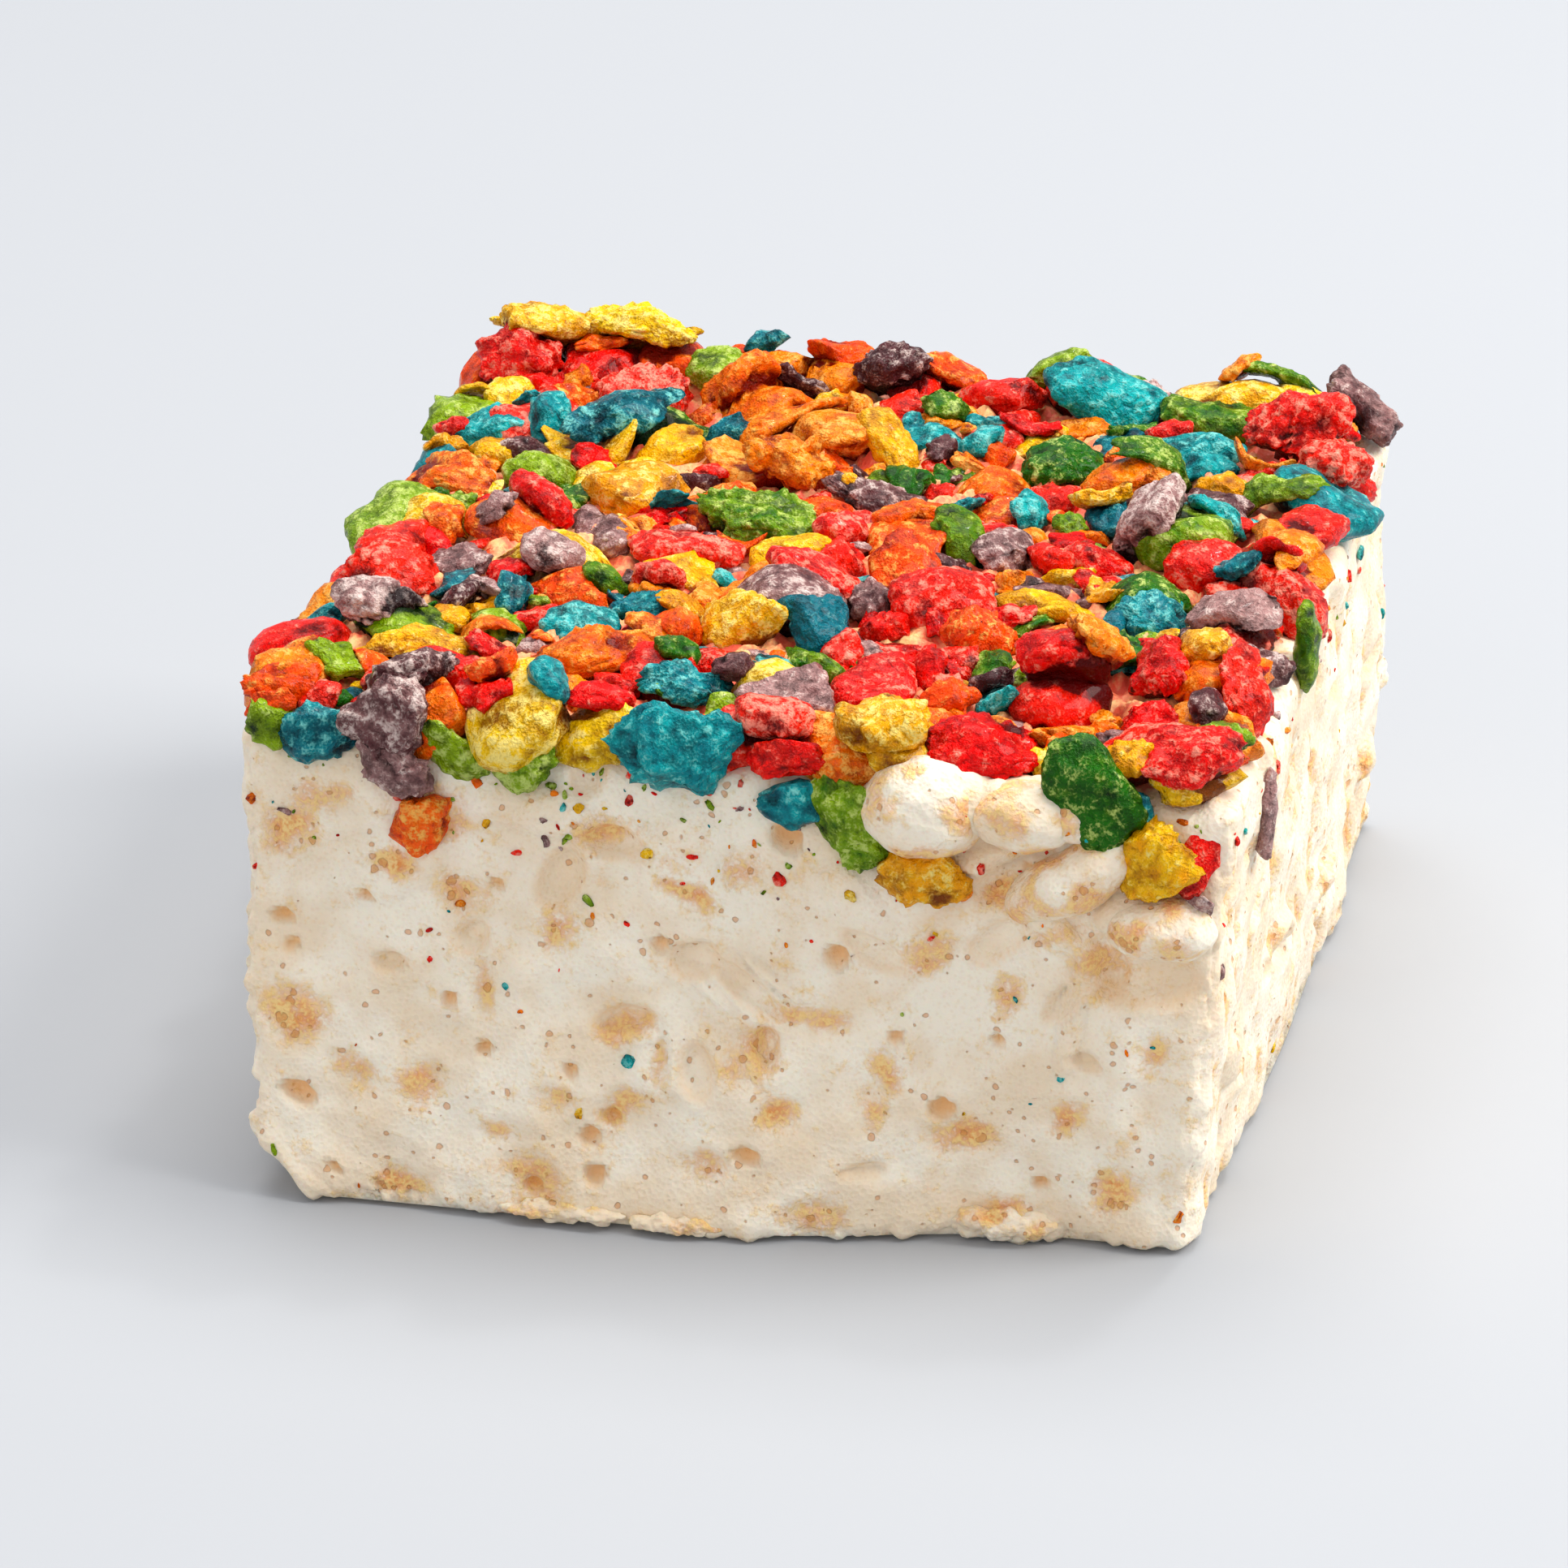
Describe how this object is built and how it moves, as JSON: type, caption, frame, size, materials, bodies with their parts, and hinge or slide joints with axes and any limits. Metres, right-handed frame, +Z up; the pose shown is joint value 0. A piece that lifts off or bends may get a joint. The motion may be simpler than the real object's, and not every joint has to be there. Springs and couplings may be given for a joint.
{
  "type": "rice crispy treat",
  "caption": "Cut square block of marshmallow and puffed rice with coloured crisp cereal flakes pressed into its top.",
  "frame": {"origin": "on the surface the block stands on, under the middle of its overall box", "axes": "+Z up out of the cereal side, +X along the cut front face to its right, +Y from the front face to the back"},
  "size_m": [0.0849, 0.093, 0.047],
  "materials": {
    "marshmallow": "soft off-white marshmallow with tan puffed rice showing through",
    "cereal_red": "red puffed cereal flake under a thin sugar glaze",
    "cereal_orange": "orange puffed cereal flake under a thin sugar glaze",
    "cereal_yellow": "yellow puffed cereal flake under a thin sugar glaze",
    "cereal_green": "green puffed cereal flake under a thin sugar glaze",
    "cereal_teal": "blue-green puffed cereal flake under a thin sugar glaze",
    "cereal_purple": "dusky purple puffed cereal flake under a thin sugar glaze"
  },
  "bodies": {
    "root": {"crispy_treat": "marshmallow"}
  },
  "joints": []
}
